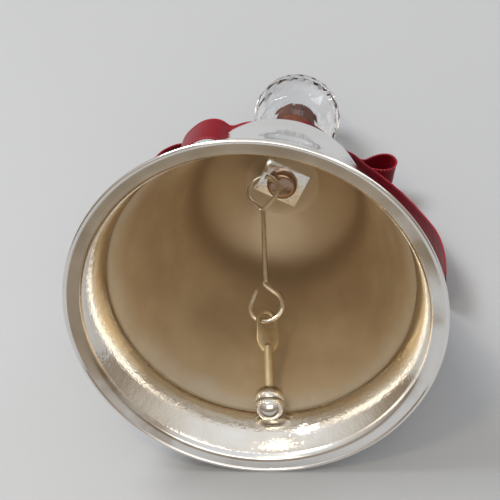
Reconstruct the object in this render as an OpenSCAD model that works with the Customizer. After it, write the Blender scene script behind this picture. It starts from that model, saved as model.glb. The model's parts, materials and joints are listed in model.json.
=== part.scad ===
// Silver bell ornament with a crystal ball knob, lying on its side as it rests on a table.
// The bell's own frame has +Z from the mouth to the crown and +Y towards the table.
// lay_down() turns that frame into the part's frame: +Z up, mouth towards -Y.

/* [Bell shell] */
// Outer radius of the mouth
lip_r = 38.6; // [36:0.1:41]
// Thickness of the sheet metal
wall_t = 1; // [0.8:0.1:1.2]
// Height of the shoulder above the mouth
shoulder_h = 50.4; // [49:0.1:52]
// Outer radius at the shoulder
shoulder_r = 20.2; // [19.6:0.1:21]
// Height of the flat seat inside the crown
seat_h = 59; // [58:0.1:60]
// Radius of the hole in the crown
crown_hole_r = 1.8; // [1.7:0.05:2]

/* [Hanger] */
// Length of the square plate across its tab
plate_l = 10.2; // [9.6:0.1:10.8]
// Width of the plate
plate_w = 8.6; // [8:0.1:9]
// Thickness of the plate
plate_t = 0.8; // [0.6:0.1:1]
// Turn of the plate about the bell's axis
plate_turn = 29; // [20:1:38]
// Height of the upturned tab
tab_h = 4.6; // [4.2:0.1:5]
// Width of the upturned tab
tab_w = 4.8; // [4.4:0.1:5.2]
// Radius of the hole in the tab
tab_hole_r = 1.35; // [1.3:0.05:1.45]
// Height of that hole above the plate
tab_hole_h = 2.7; // [2.6:0.05:2.8]

/* [Screw] */
// Radius of the pan head
head_r = 3.5; // [3.2:0.1:3.7]
// Height of the pan head
head_h = 1.9; // [1.7:0.1:2]
// Radius of the shank
shank_r = 1.5; // [1.3:0.05:1.6]
// Length of the shank
shank_l = 31; // [28:0.5:32]

/* [Knob] */
// Radius of the crystal ball
ball_r = 10.9; // [10:0.1:11.5]
// Height of the ball's centre above the mouth
ball_h = 95; // [93:0.5:96]
// Radius of the wooden plug
plug_r = 3.8; // [3.2:0.1:4.2]
// Radius of the neck that the ribbon is tied round
neck_r = 4.5; // [4:0.1:5]

/* [Clapper] */
// Radius of the wire
wire_r = 0.58; // [0.5:0.02:0.62]
// Radius of each eye, to the middle of the wire
eye_r = 3.6; // [3.4:0.1:3.8]
// Distance from an eye's centre to where its sides meet the stem
eye_neck = 5.4; // [5:0.1:5.8]
// Distance between the two points that the link turns about
link_l = 35.8; // [35:0.1:36.2]
// Distance from the link to the centre of the clapper's ball
clapper_l = 19.7; // [19.2:0.1:19.8]
// Radius of the clapper's ball
clapper_r = 3.1; // [2.8:0.1:3.2]
// Half the width of the flattened end of the clapper
paddle_r = 2.6; // [2.5:0.1:2.8]
// Radius of the clapper's rod
rod_r = 1.1; // [0.8:0.05:1.2]

/* [Ribbon] */
// Width of the ribbon
ribbon_w = 11; // [9:0.5:11.5]
// Thickness of a ribbon solid
ribbon_t = 0.8; // [0.6:0.1:1]

/* [Hidden] */
$fn = 96;

// The bell lies on the lowest points of its lip and its ball
lie_angle = atan2(lip_r, ball_h) - asin(ball_r / sqrt(lip_r * lip_r + ball_h * ball_h));
front_y = -lip_r * sin(lie_angle);
back_y = ball_h * cos(lie_angle) + ball_r;
lift = lip_r * cos(lie_angle);

// Heights along the bell's axis
plate_face = seat_h - plate_t;
crown_top = seat_h + wall_t + 0.2;
ball_bottom = ball_h - ball_r;
cup_h = 5;
neck_flange_h = 2;
neck_top = ball_bottom - 2.5;
plug_top = ball_h - 1.6;
band_h = crown_top + neck_flange_h + 1.2;
gap = 0.05;

// The tab's hole, the point that the link turns about, and the way the chain hangs from it
tab_x = -(plate_l / 2 + 0.1);
tab_shift = -0.8;
pivot = [tab_x * cos(plate_turn) - tab_shift * sin(plate_turn),
         tab_x * sin(plate_turn) + tab_shift * cos(plate_turn),
         plate_face - tab_hole_h];
clapper_at = [0, 28.9, 10.4];
hang = clapper_at - pivot;
hang_tilt = acos(hang[2] / norm(hang));
hang_turn = atan2(hang[1], hang[0]);
link_twist = 2;
paddle_twist = -38;
paddle_t = 0.7;
paddle_hole_r = 1.65;

// Outside of the wall: radius and height of the points that a smooth curve runs through
wall_points = [[lip_r, 0.2], [lip_r - 1.5, 0.75], [lip_r - 2.9, 2], [lip_r - 3.9, 5],
               [lip_r - 5.2, 11], [lip_r - 7.4, 17], [lip_r - 12, 29], [lip_r - 16, 40.5],
               [shoulder_r, shoulder_h - 1.6], [shoulder_r - 1.6, shoulder_h + 2.4],
               [shoulder_r - 6, shoulder_h + 5.9], [8.5, crown_top - 0.5], [0, crown_top]];

function along(p, i) = p[max(0, min(len(p) - 1, i))];
function curve_at(p, i, t) =
    0.5 * (2 * along(p, i) + (along(p, i + 1) - along(p, i - 1)) * t
        + (2 * along(p, i - 1) - 5 * along(p, i) + 4 * along(p, i + 1) - along(p, i + 2)) * t * t
        + (3 * along(p, i) - along(p, i - 1) - 3 * along(p, i + 1) + along(p, i + 2)) * t * t * t);
function smooth(p, steps) =
    concat([for (i = [0 : len(p) - 2]) for (s = [0 : steps - 1]) curve_at(p, i, s / steps)],
           [p[len(p) - 1]]);
function unit(v) = v / norm(v);
// The same curve moved sideways by d, to its left as it runs
function beside(p, d) =
    [for (i = [0 : len(p) - 1])
        let (v = unit(along(p, i + 1) - along(p, i - 1))) p[i] + d * [-v[1], v[0]]];

module lay_down() {
    translate([0, -(front_y + back_y) / 2, lift]) rotate([-(90 + lie_angle), 0, 0]) children();
}

// The part's frame with +Y measured from the middle of the mouth
module on_table() {
    translate([0, -(front_y + back_y) / 2, 0]) children();
}

// A chain link's frame: +Z runs from the tab's hole to the clapper's ball
module chain(twist) {
    lay_down() translate(pivot) rotate([0, hang_tilt, hang_turn]) rotate([0, 0, twist - 90])
        children();
}

module bell_shell() {
    outside = smooth(wall_points, 3);
    // The last points are clipped at the axis, where the seat's flat disc takes over
    inside = [for (q = beside(outside, wall_t)) if (q[0] > 7 && q[1] > 0 && q[1] < seat_h) q];
    color([0.83, 0.81, 0.78]) lay_down() difference() {
        rotate_extrude() polygon(concat([[lip_r - wall_t, 0], [lip_r - 0.2, 0]], outside,
            [[0, seat_h], [7, seat_h]], [for (i = [len(inside) - 1 : -1 : 0]) inside[i]]));
        translate([0, 0, seat_h - 1]) cylinder(r = crown_hole_r, h = 4);
    }
}

module hanger_plate() {
    color([0.82, 0.82, 0.80]) lay_down() rotate([0, 0, plate_turn]) difference() {
        union() {
            translate([tab_x - plate_t / 2, -plate_w / 2, plate_face])
                cube([plate_l / 2 - tab_x + plate_t / 2, plate_w, plate_t]);
            translate([tab_x - plate_t / 2, tab_shift - tab_w / 2, plate_face - tab_h])
                cube([plate_t, tab_w, tab_h + plate_t]);
        }
        translate([0, 0, plate_face - 1]) cylinder(r = shank_r + 0.15, h = 4);
        translate([tab_x - 2, tab_shift, plate_face - tab_hole_h]) rotate([0, 90, 0])
            cylinder(r = tab_hole_r, h = 4);
    }
}

module knob_screw() {
    recess = 0.8;
    color([0.72, 0.66, 0.60]) lay_down() translate([0, 0, plate_face]) difference() {
        union() {
            cylinder(r = shank_r, h = shank_l);
            mirror([0, 0, 1]) rotate_extrude()
                polygon(concat([[0, 0], [head_r, 0]],
                    [for (a = [0 : 15 : 90]) [head_r - 1.1 + 1.1 * cos(a), head_h - 1.1 + 1.1 * sin(a)]],
                    [[0, head_h]]));
        }
        for (a = [0, 90]) rotate([0, 0, a + 12])
            translate([-1.6, -recess / 2, -head_h - 1]) cube([3.2, recess, 2.1]);
    }
}

module neck_spool() {
    color([0.80, 0.78, 0.75]) lay_down() difference() {
        translate([0, 0, crown_top + gap]) rotate_extrude()
            polygon([[0, 0], [8, 0], [8.2, 0.9], [7.2, neck_flange_h], [neck_r, neck_flange_h + 0.8],
                     [neck_r, neck_top - crown_top - 2.4], [5.2, neck_top - crown_top - 1.4],
                     [5.2, neck_top - crown_top - gap], [0, neck_top - crown_top - gap]]);
        translate([0, 0, crown_top - 1]) cylinder(r = crown_hole_r, h = 40);
    }
}

module ball_cup() {
    color([0.42, 0.21, 0.14]) lay_down() difference() {
        translate([0, 0, neck_top + gap]) cylinder(r1 = 4.9, r2 = 5.3, h = cup_h);
        translate([0, 0, ball_h]) sphere(r = ball_r + gap);
        translate([0, 0, neck_top - 1]) cylinder(r = plug_r + 0.1, h = cup_h + 4);
    }
}

module knob_plug() {
    color([0.42, 0.21, 0.14]) lay_down() difference() {
        translate([0, 0, neck_top + gap]) cylinder(r = plug_r, h = plug_top - neck_top - gap);
        translate([0, 0, neck_top - 1]) cylinder(r = shank_r + 0.02, h = plug_top - neck_top - 1);
    }
}

module crystal_ball() {
    color([0.92, 0.93, 0.95, 0.5]) lay_down() difference() {
        translate([0, 0, ball_h]) sphere(r = ball_r);
        translate([0, 0, ball_bottom - 1]) cylinder(r = plug_r + 0.03, h = plug_top - ball_bottom + 1.3);
    }
}

// The middle of the link's wire in its own plane, as [x, z]: up round the top eye, down the
// stem and round the open bottom eye
eye_side = acos(eye_r / eye_neck);
stem_top = eye_r + eye_neck;
function eye_point(a, z, dir) = [eye_r * sin(a), z + dir * eye_r * cos(a)];
top_end = 360 - eye_side;
wire_path = concat(
    [0.75 * [0, stem_top] + 0.25 * eye_point(top_end, eye_r, 1)],
    [for (a = [top_end : -12 : eye_side]) eye_point(a, eye_r, 1)],
    [eye_point(eye_side, eye_r, 1), [0, stem_top - 0.4], [0, stem_top + 0.6]],
    [[0, link_l - stem_top - 0.6], [0, link_l - stem_top + 0.4]],
    [for (a = [eye_side : 12 : top_end - 16]) eye_point(a, link_l - eye_r, -1)],
    [0.55 * [-1.6, link_l - stem_top] + 0.45 * eye_point(top_end - 16, link_l - eye_r, -1)]);

// Closed solid through rings of points, each ring with the same number of sides
module sweep(rings, sides) {
    last = len(rings) / sides - 1;
    skin = [for (i = [0 : last - 1]) for (k = [0 : sides - 1])
        let (n = (k + 1) % sides, a = i * sides, b = (i + 1) * sides)
            each [[a + k, a + n, b + n], [a + k, b + n, b + k]]];
    polyhedron(rings, concat(skin, [[for (k = [sides - 1 : -1 : 0]) k],
        [for (k = [0 : sides - 1]) last * sides + k]]));
}

// A round wire along a flat path
module wire(path, r, sides) {
    sweep([for (i = [0 : len(path) - 1])
        let (v = unit(along(path, i + 1) - along(path, i - 1)))
            for (k = [0 : sides - 1])
                let (a = 360 * k / sides)
                    [path[i][0] - v[1] * r * cos(a), r * sin(a), path[i][1] + v[0] * r * cos(a)]],
        sides);
}

module clapper_link() {
    color([0.80, 0.77, 0.72]) chain(link_twist) wire(wire_path, wire_r, 12);
}

module clapper_stem() {
    color([0.54, 0.47, 0.34]) chain(paddle_twist) translate([0, 0, link_l]) {
        difference() {
            rotate([90, 0, 0]) linear_extrude(height = paddle_t, center = true) {
                circle(r = paddle_r);
                translate([-paddle_r, 0]) square([2 * paddle_r, 5.2]);
                polygon([[-paddle_r, 5.2], [paddle_r, 5.2], [paddle_r - 0.8, 6.9], [rod_r, 7.4],
                         [-rod_r, 7.4], [-paddle_r + 0.8, 6.9]]);
            }
            rotate([90, 0, 0]) cylinder(r = paddle_hole_r, h = 4, center = true);
        }
        translate([0, 0, 5.6]) cylinder(r = rod_r, h = clapper_l - clapper_r - 5.9);
    }
}

module clapper_collar() {
    foot = clapper_l - 0.9;
    color([0.66, 0.60, 0.50]) chain(paddle_twist) translate([0, 0, link_l]) difference() {
        rotate_extrude() polygon(concat([[rod_r + gap, foot - 3.3]],
            [for (a = [90 : -15 : 0])
                [rod_r + 0.1 + (3.1 - rod_r) * cos(a), foot - 1 - 2.3 * sin(a)]],
            [[3.2, foot], [rod_r + gap, foot]]));
        translate([0, 0, clapper_l]) sphere(r = clapper_r + gap);
    }
}

module clapper_ball() {
    color([0.86, 0.84, 0.80]) chain(paddle_twist) translate([0, 0, link_l + clapper_l])
        sphere(r = clapper_r);
}

module ribbon_band() {
    color([0.50, 0.04, 0.11]) lay_down() translate([0, 0, band_h]) difference() {
        cylinder(r = neck_r + 1.5, h = ribbon_w);
        translate([0, 0, -1]) cylinder(r = neck_r + 0.1, h = ribbon_w + 2);
    }
}

module ribbon_knot() {
    color([0.50, 0.04, 0.11]) lay_down() translate([0, -neck_r - 3.1, band_h + 0.8])
        linear_extrude(height = ribbon_w - 1.6) {
            square([5, 3], center = true);
            for (x = [-2.5, 2.5]) translate([x, 0]) circle(r = 1.5);
        }
}

// A point of the bell's frame, in the part's frame with +Y measured from the middle of the mouth
function on_neck(x, y, z) = [x, z * cos(lie_angle) - y * sin(lie_angle),
                             lift - y * cos(lie_angle) - z * sin(lie_angle)];

// A strip whose rows give the ends of its width, first the edge towards the crown
module strip(rows) {
    path = smooth([for (r = rows) concat(r[0], r[1])], 4);
    near_edge = [for (q = path) [q[0], q[1], q[2]]];
    far_edge = [for (q = path) [q[3], q[4], q[5]]];
    middle = (near_edge + far_edge) / 2;
    color([0.50, 0.04, 0.11]) on_table()
        sweep([for (i = [0 : len(path) - 1])
            let (v = along(middle, i + 1) - along(middle, i - 1),
                 o = unit(cross(v, far_edge[i] - near_edge[i])) * ribbon_t / 2)
                each [far_edge[i] + o, far_edge[i] - o, near_edge[i] - o, near_edge[i] + o]], 4);
}

// The bow's two loops stand on their edges on the table, behind the bell's shoulders
module ribbon_loop_left() {
    strip([[on_neck(-5.2, -7.3, 68), on_neck(-5.3, -6.4, 74.2)],
           [on_neck(-8.6, -5.6, 71.6), on_neck(-8.8, -1.6, 79.2)],
           [[-13.6, 75.2, 15.2], [-12.8, 79.6, 6.6]], [[-18, 78.4, 12.2], [-17.4, 81.4, 2.2]],
           [[-22.8, 80.8, 11.2], [-22.6, 82, 0.4]], [[-28, 82.2, 11.2], [-28, 82.8, 0.2]],
           [[-32, 80.4, 11.2], [-32.2, 80.8, 0.2]], [[-34.2, 77.7, 11.2], [-34.6, 77.8, 0.2]],
           [[-35, 75.2, 11.2], [-35.4, 75.2, 0.2]], [[-33.9, 72.9, 11.2], [-34.2, 73, 0.2]],
           [[-30.8, 72.2, 11.2], [-30.8, 72.5, 0.2]], [[-26, 73.2, 11.4], [-26, 74, 0.5]],
           [[-20.4, 73.6, 12.8], [-20, 75.6, 2.2]], [[-15, 72.8, 15.6], [-14.2, 76.8, 6]],
           [on_neck(-9.2, -4.2, 69.8), on_neck(-8.6, -0.2, 77.4)],
           [on_neck(-5, -6, 66.8), on_neck(-4.8, -4.7, 72.8)]]);
}

module ribbon_loop_right() {
    strip([[on_neck(5.2, -8.5, 68.2), on_neck(5.4, -7.8, 74.2)],
           [on_neck(8.6, -6.4, 71.4), on_neck(8.8, -2.2, 79)],
           [[13.6, 73.4, 15.2], [12.6, 78, 7.5]], [[17.4, 73.6, 11.8], [16.6, 77.2, 1.6]],
           [[19.2, 75.3, 11.2], [18.2, 76.6, 0.5]], [[21.6, 76.4, 11.2], [20.3, 77, 0.3]],
           [[24, 76.3, 11.2], [22, 76.3, 0.3]], [[25.6, 74.4, 11.2], [23, 74.4, 0.3]],
           [[25.5, 72, 11.2], [22.9, 72.2, 0.3]], [[23.8, 70.6, 11.2], [21.7, 71, 0.3]],
           [[20.6, 70.4, 11.6], [19.4, 71.4, 0.8]], [[17, 70.6, 13.2], [16.6, 73, 2.6]],
           [[13, 70.9, 16.6], [11.8, 75.4, 7.6]],
           [on_neck(8.2, -5.4, 69.6), on_neck(8.2, -1.4, 77)],
           [on_neck(5.2, -7, 67.2), on_neck(5.2, -5.9, 73.4)]]);
}

// The left tail arches off the knot and comes down on the table beyond the bell's shoulder
module ribbon_tail_left() {
    arch = [[-4.6, -8.7, 3.2], [-9, -8.9, 4.5], [-13.3, -7.4, 5.5], [-15, -8.8, 5.5],
            [-17.2, -9.6, 5.5], [-20.2, -9, 5.5], [-22.6, -7.4, 5.5], [-24.8, -5, 5.5],
            [-26.4, -1.2, 5.5], [-27.6, 4, 5.5], [-28.8, 9.4, 5.5], [-30.4, 14, 5.5],
            [-31.2, 16.4, 5.5]];
    middle_h = band_h + ribbon_w / 2;
    strip([for (q = arch) [on_neck(q[0], q[1], middle_h - q[2]),
                           on_neck(q[0], q[1], middle_h + q[2])]]);
}

// The right tail turns on its edge and lies along the bell
module ribbon_tail_right() {
    strip([[on_neck(4.8, -5.9, 65.4), on_neck(4.6, -4.8, 71.4)],
           [on_neck(8.8, -4.8, 66.6), on_neck(7.8, -0.6, 74.4)],
           [[15.1, 67.3, 20], [13.5, 71.3, 10.2]], [[18.6, 66.2, 17], [17.6, 68.6, 6]],
           [[21.9, 65.9, 14], [21.6, 65.2, 3.1]], [[24.7, 64, 12.7], [24.6, 63.4, 1.7]],
           [[27.8, 61, 11.7], [27.8, 60.8, 0.7]], [[31.1, 56.4, 11.3], [31, 56.2, 0.3]],
           [[35.2, 49.4, 11.2], [35.1, 49.4, 0.2]], [[36.9, 42.4, 11.2], [36.9, 42.4, 0.2]],
           [[37.2, 36, 11.2], [37.2, 36, 0.2]]]);
}

bell_shell();
hanger_plate();
knob_screw();
neck_spool();
ball_cup();
knob_plug();
crystal_ball();
clapper_link();
clapper_stem();
clapper_collar();
clapper_ball();
ribbon_band();
ribbon_knot();
ribbon_loop_left();
ribbon_loop_right();
ribbon_tail_left();
ribbon_tail_right();
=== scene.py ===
"""Looks of a silver bell ornament with a crystal ball knob, lying on its side on a table.

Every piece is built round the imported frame. Shapes are made in millimetres in the frame of what
they belong to (the bell, the clapper chain or the table) and then placed in the row frame.
"""

import json
from math import acos, atan2, cos, pi, radians, sin, sqrt

import bmesh
import bpy
import numpy as np
from mathutils import Matrix, Vector, noise

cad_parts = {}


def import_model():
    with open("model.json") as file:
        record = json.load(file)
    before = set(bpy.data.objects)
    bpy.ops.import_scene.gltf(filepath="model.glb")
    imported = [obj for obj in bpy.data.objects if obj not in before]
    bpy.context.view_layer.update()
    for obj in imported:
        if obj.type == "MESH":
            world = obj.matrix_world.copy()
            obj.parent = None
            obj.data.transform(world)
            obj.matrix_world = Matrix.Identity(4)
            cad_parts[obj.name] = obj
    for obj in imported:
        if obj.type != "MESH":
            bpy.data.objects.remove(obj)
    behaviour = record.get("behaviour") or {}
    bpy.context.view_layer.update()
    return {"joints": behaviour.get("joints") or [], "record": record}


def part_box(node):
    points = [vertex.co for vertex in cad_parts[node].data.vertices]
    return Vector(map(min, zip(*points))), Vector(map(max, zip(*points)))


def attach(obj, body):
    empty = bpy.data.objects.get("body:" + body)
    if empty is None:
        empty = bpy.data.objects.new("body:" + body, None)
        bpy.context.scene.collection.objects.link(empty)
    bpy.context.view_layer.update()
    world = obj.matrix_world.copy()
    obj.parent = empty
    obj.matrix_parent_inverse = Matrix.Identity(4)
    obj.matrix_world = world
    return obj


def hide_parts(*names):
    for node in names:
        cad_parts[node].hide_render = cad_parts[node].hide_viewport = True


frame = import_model()

MM = 0.001

# ---------------------------------------------------------------- frames

mounts = {m["name"]: m for m in frame["record"]["mounts"]}
joints = {j["name"]: j for j in frame["joints"]}


def local_frame(origin, x, z):
    """The matrix from a frame in millimetres, with these X and Z directions, to the row frame."""
    z = Vector(z).normalized()
    x = (Vector(x) - Vector(x).dot(z) * z).normalized()
    y = z.cross(x)
    turn = Matrix((x, y, z)).transposed()
    return Matrix.Translation(origin) @ (turn * MM).to_4x4()


def centre(node):
    low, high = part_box(node)
    return (low + high) / 2


mouth = mounts["rim_rest"]
MOUTH = Vector((0, mouth["pos_m"][1], mouth["pos_m"][2]))
BELL = local_frame(MOUTH, (1, 0, 0), -Vector(mouth["axis"]))
TABLE = Matrix.Translation((0, MOUTH.y, 0)) @ Matrix.Scale(MM, 4)

HOOK = Vector(joints["link_swing"]["pos_m"])
PIN = Vector(joints["clapper_swing"]["pos_m"])
LINK_L = (PIN - HOOK).length / MM
CLAPPER_L = (centre("clapper_ball") - PIN).length / MM


def chain_frame(twist):
    """+Z runs from the hook to the clapper's ball, and twist turns the frame about it."""
    hang = BELL.to_3x3().inverted() @ (centre("clapper_ball") - HOOK)
    tilt, turn = acos(hang.z / hang.length), atan2(hang.y, hang.x)
    turned = (Matrix.Rotation(turn, 3, "Z") @ Matrix.Rotation(tilt, 3, "Y")
              @ Matrix.Rotation(radians(twist - 90), 3, "Z"))
    axes = BELL.to_3x3() @ turned
    return local_frame(HOOK, axes.col[0], axes.col[2])


LINK = chain_frame(2)
CLAPPER = chain_frame(-38) @ Matrix.Translation((0, 0, LINK_L))

# ---------------------------------------------------------------- sizes, in millimetres

LIP_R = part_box("bell_shell")[1].x / MM
WALL = 1.0
SHOULDER_R = 20.2
SHOULDER_H = 50.4
SEAT_H = 59.0
CROWN_TOP = SEAT_H + WALL + 0.2
HOLE_R = 1.8
BEAD_R = 0.45
EDGE_H = 10.9
EDGE_BLEND = 0.9
PLATE_T = 0.8
PLATE_FACE = SEAT_H - PLATE_T
PLATE_L = 10.2
PLATE_W = 8.6
PLATE_TURN = 29
TAB_H = 4.6
TAB_W = 4.8
TAB_SHIFT = -0.8
TAB_X = -(PLATE_L / 2 + 0.1)
TAB_HOLE_R = 1.35
TAB_HOLE_H = 2.7
HEAD_R = 3.5
HEAD_H = 1.9
SHANK_R = 1.5
SHANK_L = 31.0
BALL_R = 10.9
BALL_H = 95.0
BALL_BOTTOM = BALL_H - BALL_R
NECK_R = 4.5
NECK_TOP = BALL_BOTTOM - 2.5
PLUG_R = 3.8
PLUG_TOP = BALL_H - 1.6
WIRE_R = 0.58
EYE_R = 3.6
EYE_NECK = 5.4
PADDLE_R = 2.6
ROD_R = 1.1
PADDLE_T = 0.7
PADDLE_HOLE_R = 1.65
CLAPPER_R = 3.1
RIBBON_W = 11.0
FILM = 0.11
STITCH = 0.8
BAND_H = CROWN_TOP + 3.2

# ---------------------------------------------------------------- curves


def along(p, i):
    return p[max(0, min(len(p) - 1, i))]


def smooth(points, steps):
    """A Catmull-Rom curve through points of any dimension."""
    p = np.array(points, float)
    out = []
    for i in range(len(p) - 1):
        a, b, c, d = (along(p, i + k) for k in (-1, 0, 1, 2))
        for t in np.arange(steps) / steps:
            out.append(0.5 * (2 * b + (c - a) * t + (2 * a - 5 * b + 4 * c - d) * t * t
                              + (3 * b - a - 3 * c + d) * t ** 3))
    return np.array(out + [p[-1]])


def tangents(path):
    v = np.array([along(path, i + 1) - along(path, i - 1) for i in range(len(path))])
    return v / np.linalg.norm(v, axis=1)[:, None]


def beside(path, d):
    """A flat path moved sideways by d, to its left as it runs."""
    v = tangents(path)
    return path + d * np.stack([-v[:, 1], v[:, 0]], axis=1)


def arc(centre_x, centre_y, r, start, end, steps):
    """Points on an arc, in degrees from +X."""
    a = np.radians(np.linspace(start, end, steps + 1))
    return np.stack([centre_x + r * np.cos(a), centre_y + r * np.sin(a)], axis=1)


def ease(t):
    t = np.clip(t, 0, 1)
    return t * t * (3 - 2 * t)


# ---------------------------------------------------------------- meshes


def make_mesh(name, points, faces):
    mesh = bpy.data.meshes.new(name)
    mesh.from_pydata([tuple(p) for p in points], [], [tuple(f) for f in faces])
    obj = bpy.data.objects.new(name, mesh)
    bpy.context.scene.collection.objects.link(obj)
    return obj


def lathe(name, profile, around=96, wobble=0.0, looks=None):
    """A closed surface of revolution about Z. A profile point at radius 0 becomes a pole, and
    looks gives the material slot of each stretch of the profile."""
    points, rings = [], []
    for r, z in profile:
        if r < 1e-6:
            rings.append([len(points)] * around)
            points.append((0, 0, z))
            continue
        rings.append(list(range(len(points), len(points) + around)))
        for k in range(around):
            a = 2 * pi * k / around
            d = wobble * noise.noise(Vector((cos(a) * 3.1, sin(a) * 3.1, z * 0.09))) if wobble else 0
            points.append(((r + d) * cos(a), (r + d) * sin(a), z))
    faces = []
    closed = profile[0][0] > 1e-6 and profile[-1][0] > 1e-6
    for i in range(len(rings) - (0 if closed else 1)):
        low, high = rings[i], rings[(i + 1) % len(rings)]
        for k in range(around):
            n = (k + 1) % around
            face = [low[k], low[n], high[n], high[k]]
            face = [v for j, v in enumerate(face) if v not in face[:j]]
            faces.append(face)
    obj = make_mesh(name, points, faces)
    if looks is not None:
        obj.data.polygons.foreach_set("material_index", np.repeat(looks, around))
    return obj


def tube(name, path, r, sides=20):
    """A round wire along a flat path of [x, z] points, with domed ends."""
    way = tangents(path)
    points, faces = [], []
    steps = 4
    ends = [radians(90 * k / steps) for k in range(steps + 1)]
    rings = ([(path[0] - way[0] * r * cos(a), way[0], r * sin(a)) for a in ends[:-1]]
             + [(p, v, r) for p, v in zip(path, way)]
             + [(path[-1] + way[-1] * r * sin(a), way[-1], r * cos(a)) for a in ends[1:]])
    for at, v, radius in rings:
        radius = max(radius, 0.02)
        for k in range(sides):
            a = 2 * pi * k / sides
            points.append((at[0] - v[1] * radius * cos(a), radius * sin(a),
                           at[1] + v[0] * radius * cos(a)))
    for i in range(len(rings) - 1):
        for k in range(sides):
            n = (k + 1) % sides
            faces.append((i * sides + k, i * sides + n, (i + 1) * sides + n, (i + 1) * sides + k))
    faces.append(range(sides))
    faces.append([(len(rings) - 1) * sides + k for k in reversed(range(sides))])
    return make_mesh(name, points, faces)


def prism(name, outline, low, high, axis="Z"):
    """A flat outline made solid from low to high. With axis Y the outline is in XZ."""
    n = len(outline)
    if axis == "Z":
        points = [(x, y, z) for z in (low, high) for x, y in outline]
    else:
        points = [(x, -z, y) for z in (low, high) for x, y in outline]
    faces = [list(reversed(range(n))), list(range(n, 2 * n))]
    faces += [(k, (k + 1) % n, n + (k + 1) % n, n + k) for k in range(n)]
    return make_mesh(name, points, faces)


def apply_modifiers(obj):
    dg = bpy.context.evaluated_depsgraph_get()
    mesh = bpy.data.meshes.new_from_object(obj.evaluated_get(dg))
    obj.modifiers.clear()
    old = obj.data
    obj.data = mesh
    bpy.data.meshes.remove(old)


def combine(obj, other, operation):
    """A boolean of two meshes, in millimetres. The second one is used up."""
    bpy.context.view_layer.update()
    m = obj.modifiers.new("combine", "BOOLEAN")
    m.operation = operation
    m.solver = "EXACT"
    m.object = other
    apply_modifiers(obj)
    bpy.data.objects.remove(other)


def bevel(obj, width, segments=2, angle=35):
    m = obj.modifiers.new("bevel", "BEVEL")
    m.width = width
    m.segments = segments
    m.limit_method = "ANGLE"
    m.angle_limit = radians(angle)
    m.use_clamp_overlap = True
    apply_modifiers(obj)


def tidy(obj):
    """Merges doubles and turns every face outwards."""
    bm = bmesh.new()
    bm.from_mesh(obj.data)
    bmesh.ops.remove_doubles(bm, verts=bm.verts, dist=1e-4)
    bmesh.ops.recalc_face_normals(bm, faces=bm.faces)
    bm.to_mesh(obj.data)
    bm.free()


def finish_piece(obj, place, materials, body, slot, *nodes, crease=40):
    """Places a mesh made in millimetres, gives it its looks and hangs it on its body."""
    tidy(obj)
    obj.data.transform(place)
    for m in materials:
        obj.data.materials.append(m)
    obj.data.shade_smooth()
    if crease < 180:
        obj.data.set_sharp_from_angle(angle=radians(crease))
    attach(obj, body)
    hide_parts(*nodes)
    return obj


# ---------------------------------------------------------------- materials


class Look:
    """A procedural material: a Principled shader and short calls for the nodes that feed it."""

    def __init__(self, name, **plain):
        self.material = bpy.data.materials.new(name)
        self.material.use_nodes = True
        self.tree = self.material.node_tree
        self.shader = self.tree.nodes["Principled BSDF"]
        for socket, value in plain.items():
            self.shader.inputs[socket.replace("_", " ")].default_value = value

    def add(self, kind, inputs=(), out=0, **settings):
        n = self.tree.nodes.new("ShaderNode" + kind)
        for key, value in settings.items():
            setattr(n, key, value)
        for key, value in dict(inputs).items():
            self.feed(n.inputs[key], value)
        return n.outputs[out]

    def feed(self, socket, value):
        if isinstance(value, bpy.types.NodeSocket):
            self.tree.links.new(value, socket)
        else:
            socket.default_value = value

    def set(self, **sockets):
        for key, value in sockets.items():
            self.feed(self.shader.inputs[key.replace("_", " ")], value)
        return self

    def place(self, matrix):
        """Object coordinates in the millimetres of a local frame."""
        at = self.add("TexCoord", out="Object")
        turn = (matrix.to_3x3() * (1 / MM)).to_euler()
        return self.add("Mapping", {"Vector": at, "Location": matrix.translation,
                                    "Rotation": turn, "Scale": (MM,) * 3}, vector_type="TEXTURE")

    def scaled(self, vector, x, y, z):
        return self.add("Mapping", {"Vector": vector, "Scale": (x, y, z)})

    def part(self, vector, axis):
        return self.add("SeparateXYZ", {"Vector": vector}, out=axis)

    def math(self, operation, a, b=0.0):
        return self.add("Math", {0: a, 1: b}, operation=operation)

    def span(self, value, low, high, to_low=0.0, to_high=1.0):
        """The value's place between low and high, eased, from to_low to to_high."""
        return self.add("MapRange", {"Value": value, "From Min": low, "From Max": high,
                                     "To Min": to_low, "To Max": to_high},
                        interpolation_type="SMOOTHSTEP")

    def noise(self, vector, scale, detail=2.0, rough=0.5, distortion=0.0):
        return self.add("TexNoise", {"Vector": vector, "Scale": scale, "Detail": detail,
                                     "Roughness": rough, "Distortion": distortion})

    def ramp(self, value, *stops):
        n = self.tree.nodes.new("ShaderNodeValToRGB")
        ramp = n.color_ramp
        while len(ramp.elements) < len(stops):
            ramp.elements.new(0.5)
        for e, (at, colour) in zip(ramp.elements, stops):
            e.position = at
            e.color = (*colour, 1)
        self.feed(n.inputs[0], value)
        return n.outputs[0]

    def mix(self, share, a, b):
        """Between two colours."""
        n = self.tree.nodes.new("ShaderNodeMix")
        n.data_type = "RGBA"
        self.feed(n.inputs["Factor"], share)
        sockets = {s.identifier: s for s in n.inputs}
        for name, colour in (("A_Color", a), ("B_Color", b)):
            self.feed(sockets[name], colour if isinstance(colour, bpy.types.NodeSocket) else (*colour, 1))
        return [s for s in n.outputs if s.identifier == "Result_Color"][0]

    def bump(self, height, strength, depth, before=None):
        """depth is the height of the relief in millimetres."""
        inputs = {"Height": height, "Strength": strength, "Distance": depth * MM}
        if before is not None:
            inputs["Normal"] = before
        return self.add("Bump", inputs)


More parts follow.
